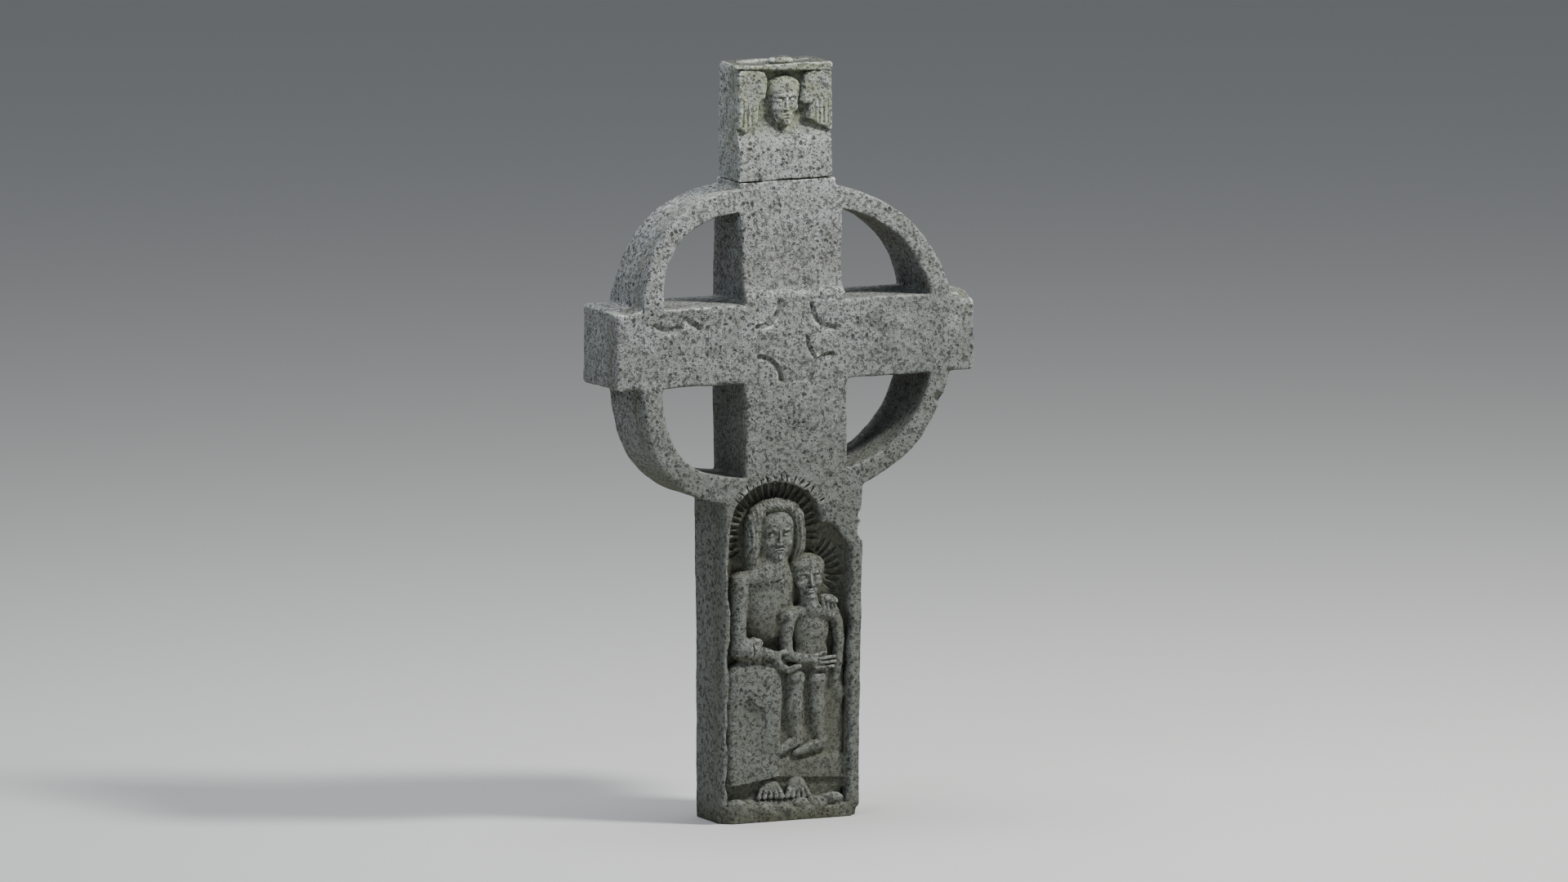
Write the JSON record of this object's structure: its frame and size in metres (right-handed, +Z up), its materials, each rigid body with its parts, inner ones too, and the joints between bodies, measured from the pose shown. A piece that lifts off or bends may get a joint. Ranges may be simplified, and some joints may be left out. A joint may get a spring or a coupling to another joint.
{
  "type": "churchyard cross",
  "caption": "Ring-headed carved granite churchyard cross: flat-footed shaft with a niche of a seated mother and child, pierced ring head, and a separate capstone with a winged head.",
  "frame": {"origin": "middle of the flat underside of the shaft's foot, below the middle of the arms' span and depth", "axes": "+Z up along the shaft; +X along the arms, to the right as seen from the front; the carved face looks along -Y"},
  "size_m": [1.025, 0.2209, 2.0118],
  "materials": {
    "cross_granite": "weathered pitted grey granite with moss tint in its hollows",
    "capstone_granite": "weathered pitted grey granite, lichen on its top"
  },
  "bodies": {
    "root": {"cross": "cross_granite", "capstone": "capstone_granite"}
  },
  "joints": []
}
